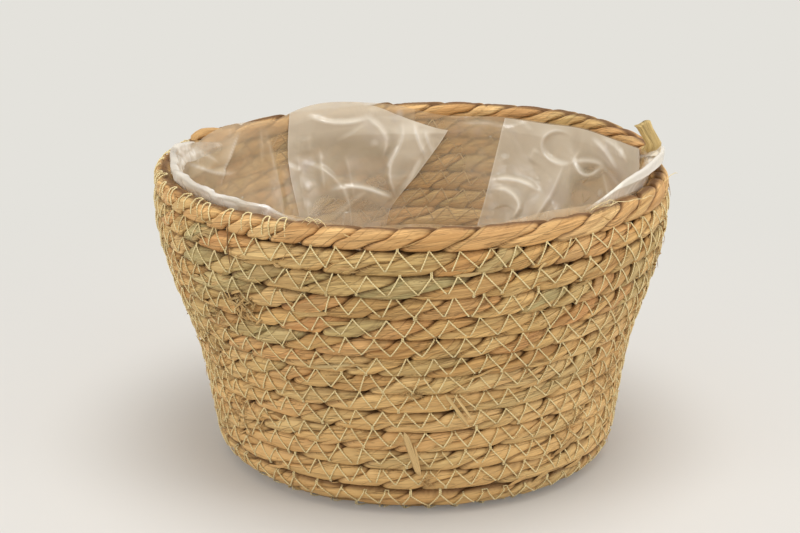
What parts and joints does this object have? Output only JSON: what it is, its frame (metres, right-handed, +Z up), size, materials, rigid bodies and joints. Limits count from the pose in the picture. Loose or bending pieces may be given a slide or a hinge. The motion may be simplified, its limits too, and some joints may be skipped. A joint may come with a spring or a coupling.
{
  "type": "seagrass basket",
  "caption": "Round open basket of coiled seagrass rope, sewn course to course with a zigzag thread and lined with clear film, for holding a plant pot or small goods.",
  "frame": {"origin": "on the resting plane, under the middle of the widest course", "axes": "+Z up, -Y to the front as pictured, +X to the right"},
  "size_m": [0.2535, 0.2535, 0.1619],
  "materials": {
    "seagrass": "dry twisted seagrass leaves, straw to orange-tan with greenish khaki strands",
    "thread": "pale cream-yellow sewing thread",
    "film": "clear crinkled polythene film, whitish where it lies double"
  },
  "bodies": {
    "root": {"floor_coil": "seagrass", "wall_coil": "seagrass", "rope_tail": "seagrass", "needle_thread": "thread", "under_thread": "thread", "film_liner": "film"}
  },
  "joints": []
}
